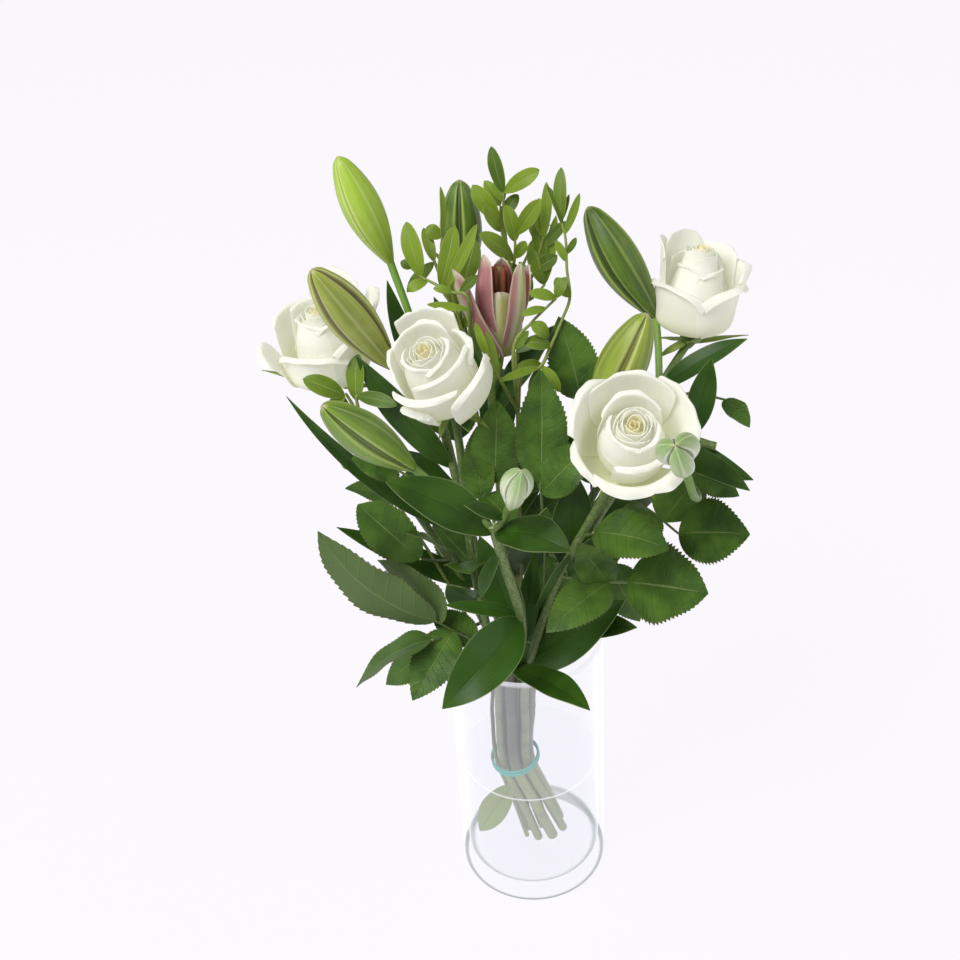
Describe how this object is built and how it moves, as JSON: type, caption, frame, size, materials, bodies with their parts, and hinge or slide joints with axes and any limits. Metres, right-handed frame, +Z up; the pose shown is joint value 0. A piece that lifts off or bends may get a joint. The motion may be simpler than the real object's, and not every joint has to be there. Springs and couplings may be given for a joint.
{
  "type": "flower bouquet in a vase",
  "caption": "Mixed bouquet of white roses, lily buds and green foliage, tied with a rubber band and standing in a straight glass vase of water.",
  "frame": {"origin": "centre of the vase's flat foot, on the surface that it stands on", "axes": "+Z up along the vase; +X to the right and +Y to the back of the bouquet's front side"},
  "size_m": [0.2994, 0.2387, 0.4953],
  "materials": {
    "glass": "clear polished glass",
    "water": "clear still water",
    "rubber": "matte turquoise rubber",
    "lily_green": "smooth, half-glossy lily leaf and stem",
    "rose_green": "matte to half-glossy rose leaf and stem",
    "branch_green": "matte yellow-green leaflets",
    "bud_green": "smooth, half-glossy closed bud",
    "pale_bud": "matte pale green bud",
    "rose_petal": "soft white petal",
    "lily_petal": "soft dusty pink and green petal",
    "stamen": "matte red-brown"
  },
  "bodies": {
    "root": {"vase": "glass", "water": "water", "rubber_band": "rubber", "lily_opening_tepals": "lily_petal", "lily_opening_stamens": "stamen", "lily_stem_1": "lily_green", "lily_stem_2": "lily_green", "lily_stem_3": "lily_green", "lily_stem_4": "lily_green", "rose_stem_1": "rose_green", "rose_stem_2": "rose_green", "rose_stem_3": "rose_green", "rose_stem_4": "rose_green", "rose_bloom_1": "rose_petal", "rose_bloom_2": "rose_petal", "rose_bloom_3": "rose_petal", "rose_bloom_4": "rose_petal", "lily_bud_1": "bud_green", "lily_bud_2": "bud_green", "lily_bud_3": "bud_green", "lily_bud_4": "bud_green", "lily_bud_5": "bud_green", "lily_bud_6": "bud_green", "lily_bud_small_1": "pale_bud", "lily_bud_small_2": "pale_bud", "pistache_1": "branch_green", "pistache_2": "branch_green", "pistache_3": "branch_green", "pistache_4": "branch_green"}
  },
  "joints": []
}
